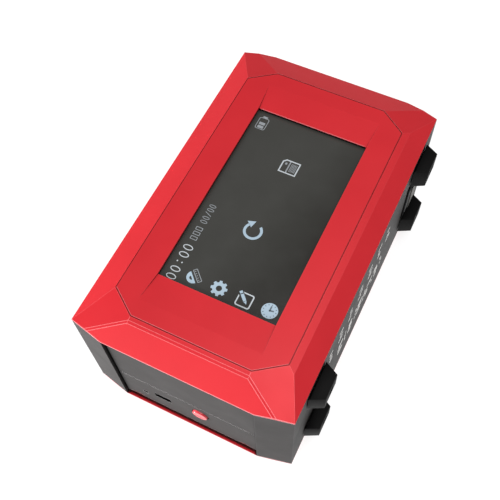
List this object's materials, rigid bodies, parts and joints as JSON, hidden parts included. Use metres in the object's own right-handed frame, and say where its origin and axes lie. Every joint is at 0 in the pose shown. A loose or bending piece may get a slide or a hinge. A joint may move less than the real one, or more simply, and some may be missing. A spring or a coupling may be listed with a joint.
{
  "type": "date code inkjet printer",
  "caption": "Portable inkjet date code printer with a faceted case, recessed touch screen, end panel controls, side feet and a hinged cartridge door.",
  "frame": {"origin": "centre of the rear cover's flat resting face", "axes": "+Z out of the screen, +X towards the print side and its feet, +Y along the body towards the cartridge door"},
  "size_m": [0.1071, 0.1674, 0.073],
  "materials": {
    "red_paint": "satin",
    "grey_paint": "satin",
    "foot_black": "matte",
    "black_plastic": "matte",
    "button_red": "gloss",
    "screen_glass": "gloss",
    "steel": "satin",
    "aluminium": "satin",
    "circuit_board": "satin",
    "cell_wrap": "gloss",
    "foam": "matte",
    "flex": "satin",
    "light_plastic": "satin"
  },
  "bodies": {
    "case": {"front_cover": "red_paint", "rear_cover": "red_paint", "side_shell_print": "grey_paint", "side_shell_hinge": "grey_paint", "end_plate_upper": "grey_paint", "end_plate_lower": "grey_paint", "door_hinge_pin": "steel", "magnet_keeper": "steel", "lcd_panel": "steel", "usb_port": "steel", "nozzle_plate": "steel", "touch_glass": "screen_glass", "display_gasket": "foam", "nozzle_gasket": "foam", "display_bracket": "aluminium", "chassis_plate": "aluminium", "display_flex": "flex", "contact_flex": "flex", "main_board": "circuit_board", "input_board": "circuit_board", "contact_board": "circuit_board", "buzzer": "black_plastic", "tact_switch": "black_plastic", "battery_tray": "black_plastic", "print_cartridge": "black_plastic", "cartridge_cradle": "black_plastic", "status_light": "light_plastic", "battery_cell_1": "cell_wrap", "battery_cell_2": "cell_wrap", "battery_cell_3": "cell_wrap", "case_screw_1": "steel", "bracket_screw_1": "steel", "board_standoff_1": "steel", "board_screw_1": "steel", "foot_screw_1": "steel", "foot_1": "foot_black", "case_screw_2": "steel", "bracket_screw_2": "steel", "board_standoff_2": "steel", "board_screw_2": "steel", "foot_screw_2": "steel", "foot_2": "foot_black", "case_screw_3": "steel", "bracket_screw_3": "steel", "board_standoff_3": "steel", "board_screw_3": "steel", "foot_screw_3": "steel", "foot_3": "foot_black", "case_screw_4": "steel", "bracket_screw_4": "steel", "board_standoff_4": "steel", "board_screw_4": "steel", "foot_screw_4": "steel", "foot_4": "foot_black"},
    "door": {"cartridge_door": "grey_paint", "door_spring": "steel", "door_magnet": "steel"},
    "button": {"power_button": "button_red"}
  },
  "joints": [
    {"name": "cartridge_door_hinge", "type": "hinge", "parent": "case", "child": "door", "pos_m": [-0.0323, 0.0809, 0.037], "axis": [0, 0, 1], "range_deg": [0, 95]},
    {"name": "power_button_press", "type": "slide", "parent": "case", "child": "button", "axis": [0, 1, 0], "range_m": [0, 0.0009], "stiffness_N_per_m": 400}
  ]
}
